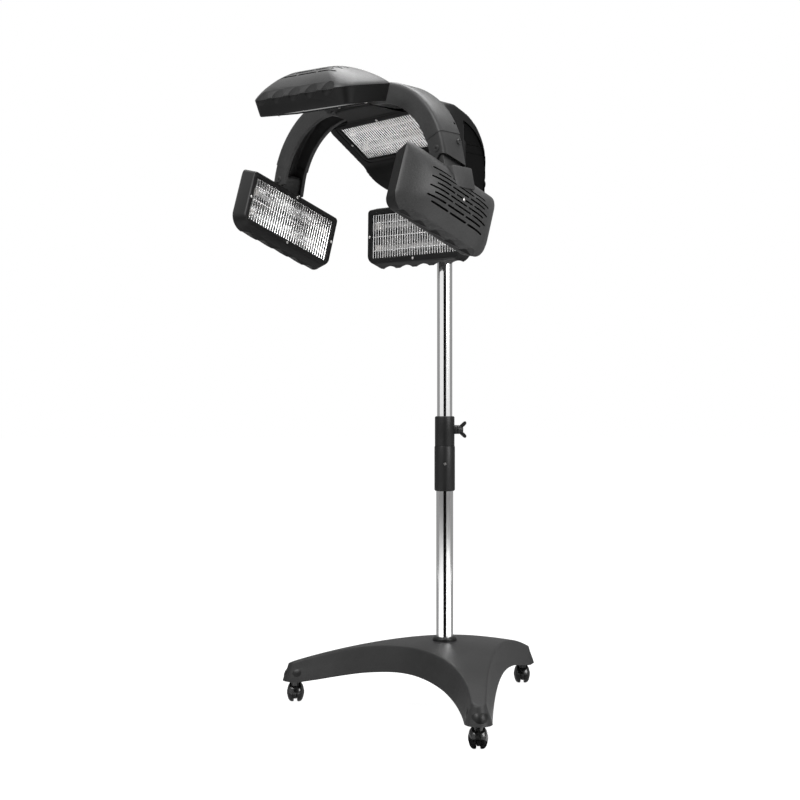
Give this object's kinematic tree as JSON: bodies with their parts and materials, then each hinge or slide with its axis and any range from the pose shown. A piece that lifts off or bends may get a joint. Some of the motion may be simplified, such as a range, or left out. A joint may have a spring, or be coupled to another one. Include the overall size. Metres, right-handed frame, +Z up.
{
  "type": "hair colour processor",
  "caption": "Infrared hair colour processor: lamp head with arched side arms on a height-adjustable pole and rolling three-legged foot",
  "frame": {"origin": "on the floor, at the axis of the pole", "axes": "+Z up along the pole, +X to the viewer's right in front of the stand, +Y away from that viewer; the head faces the horizontal direction halfway between -X and -Y"},
  "size_m": [0.6977, 0.7932, 1.3602],
  "materials": {
    "charcoal_moulding": "fine moulded texture",
    "guard_wire": "bright",
    "reflector_sheet": "polished",
    "heater_tube": "clear quartz in ceramic ends",
    "chrome_tube": "mirror",
    "zinc_steel": "zinc plated",
    "ballast_iron": "painted",
    "caster_gloss": "gloss",
    "black_fitting": "satin"
  },
  "bodies": {
    "base": {"base_shell": "charcoal_moulding", "base_ballast": "ballast_iron", "pole_collar": "black_fitting", "foot_screws": "zinc_steel", "lower_tube": "chrome_tube", "clamp_sleeve_lower": "black_fitting", "clamp_sleeve_upper": "black_fitting", "sleeve_screw": "zinc_steel"},
    "caster_right": {"caster_hood_right": "caster_gloss"},
    "wheels_right": {"caster_wheels_right": "caster_gloss"},
    "caster_left": {"caster_hood_left": "caster_gloss"},
    "wheels_left": {"caster_wheels_left": "caster_gloss"},
    "caster_front": {"caster_hood_front": "caster_gloss"},
    "wheels_front": {"caster_wheels_front": "caster_gloss"},
    "knob": {"clamp_knob": "black_fitting"},
    "pole": {"upper_tube": "chrome_tube", "tube_plug": "black_fitting"},
    "head": {"hub_upper": "charcoal_moulding", "hub_lower": "charcoal_moulding", "pole_socket": "zinc_steel", "control_panel": "charcoal_moulding", "cable_gland": "black_fitting", "arm_front": "charcoal_moulding", "arm_rear": "charcoal_moulding", "tilt_pin_front": "zinc_steel", "tilt_pin_rear": "zinc_steel", "root_bracket_left": "zinc_steel", "root_pin_left": "zinc_steel", "root_bracket_right": "zinc_steel", "root_pin_right": "zinc_steel", "bezel_crown": "charcoal_moulding", "grille_crown": "guard_wire", "reflector_crown": "reflector_sheet", "heaters_crown": "heater_tube"},
    "arm_left": {"arm_left": "charcoal_moulding", "tilt_pin_left": "zinc_steel"},
    "arm_right": {"arm_right": "charcoal_moulding", "tilt_pin_right": "zinc_steel"},
    "lamp_left": {"cover_left": "charcoal_moulding", "bezel_left": "charcoal_moulding", "grille_left": "guard_wire", "reflector_left": "reflector_sheet", "heaters_left": "heater_tube"},
    "lamp_right": {"cover_right": "charcoal_moulding", "bezel_right": "charcoal_moulding", "grille_right": "guard_wire", "reflector_right": "reflector_sheet", "heaters_right": "heater_tube"},
    "lamp_front": {"cover_front": "charcoal_moulding", "bezel_front": "charcoal_moulding", "grille_front": "guard_wire", "reflector_front": "reflector_sheet", "heaters_front": "heater_tube"},
    "lamp_rear": {"cover_rear": "charcoal_moulding", "bezel_rear": "charcoal_moulding", "grille_rear": "guard_wire", "reflector_rear": "reflector_sheet", "heaters_rear": "heater_tube"},
    "timer": {"timer_knob": "black_fitting"},
    "switch": {"power_switch": "black_fitting"}
  },
  "joints": [
    {"name": "swivel_right", "type": "hinge", "parent": "base", "child": "caster_right", "pos_m": [0.20075, 0.2867, 0.06], "axis": [0, 0, 1], "continuous": true},
    {"name": "roll_right", "type": "hinge", "parent": "caster_right", "child": "wheels_right", "pos_m": [0.20075, 0.3007, 0.022], "axis": [1, 0, 0], "continuous": true},
    {"name": "swivel_left", "type": "hinge", "parent": "base", "child": "caster_left", "pos_m": [-0.34103, 0.07873, 0.06], "axis": [0, 0, 1], "continuous": true},
    {"name": "roll_left", "type": "hinge", "parent": "caster_left", "child": "wheels_left", "pos_m": [-0.34103, 0.09273, 0.022], "axis": [1, 0, 0], "continuous": true},
    {"name": "swivel_front", "type": "hinge", "parent": "base", "child": "caster_front", "pos_m": [0.05475, -0.34569, 0.06], "axis": [0, 0, 1], "continuous": true},
    {"name": "roll_front", "type": "hinge", "parent": "caster_front", "child": "wheels_front", "pos_m": [0.05475, -0.33169, 0.022], "axis": [1, 0, 0], "continuous": true},
    {"name": "clamp_turn", "type": "hinge", "parent": "base", "child": "knob", "pos_m": [0.03, 0, 0.628], "axis": [1, 0, 0], "range_deg": [0, 180]},
    {"name": "height_slide", "type": "slide", "parent": "base", "child": "pole", "axis": [0, 0, 1], "range_m": [-0.28, 0.12]},
    {"name": "head_turn", "type": "hinge", "parent": "pole", "child": "head", "pos_m": [0, 0, 1.2], "axis": [0, 0, 1], "range_deg": [-170, 170]},
    {"name": "fold_left", "type": "hinge", "parent": "head", "child": "arm_left", "pos_m": [-0.22557, -0.1294, 1.319], "axis": [0.7071, 0.7071, 0], "range_deg": [0, 30]},
    {"name": "fold_right", "type": "hinge", "parent": "head", "child": "arm_right", "pos_m": [-0.1294, -0.22557, 1.319], "axis": [-0.7071, -0.7071, 0], "range_deg": [0, 30]},
    {"name": "tilt_left", "type": "hinge", "parent": "arm_left", "child": "lamp_left", "pos_m": [-0.34683, -0.00814, 1.18259], "axis": [0.7071, 0.7071, 0], "range_deg": [-8, 8]},
    {"name": "tilt_right", "type": "hinge", "parent": "arm_right", "child": "lamp_right", "pos_m": [-0.00814, -0.34683, 1.18259], "axis": [-0.7071, -0.7071, 0], "range_deg": [-8, 8]},
    {"name": "tilt_front", "type": "hinge", "parent": "head", "child": "lamp_front", "pos_m": [-0.19695, -0.24072, 1.31431], "axis": [-0.7694, 0.6376, 0.0382], "range_deg": [-10, 10]},
    {"name": "tilt_rear", "type": "hinge", "parent": "head", "child": "lamp_rear", "pos_m": [-0.04994, -0.05008, 1.15636], "axis": [0.809, -0.5878, 0], "range_deg": [-10, 4]},
    {"name": "timer_turn", "type": "hinge", "parent": "head", "child": "timer", "pos_m": [0.07665, 0.05119, 1.186], "axis": [0.7071, 0.7071, 0], "range_deg": [0, 300]},
    {"name": "switch_rock", "type": "hinge", "parent": "head", "child": "switch", "pos_m": [0.06152, 0.06152, 1.186], "axis": [0.7071, -0.7071, 0], "range_deg": [0, 14]}
  ]
}
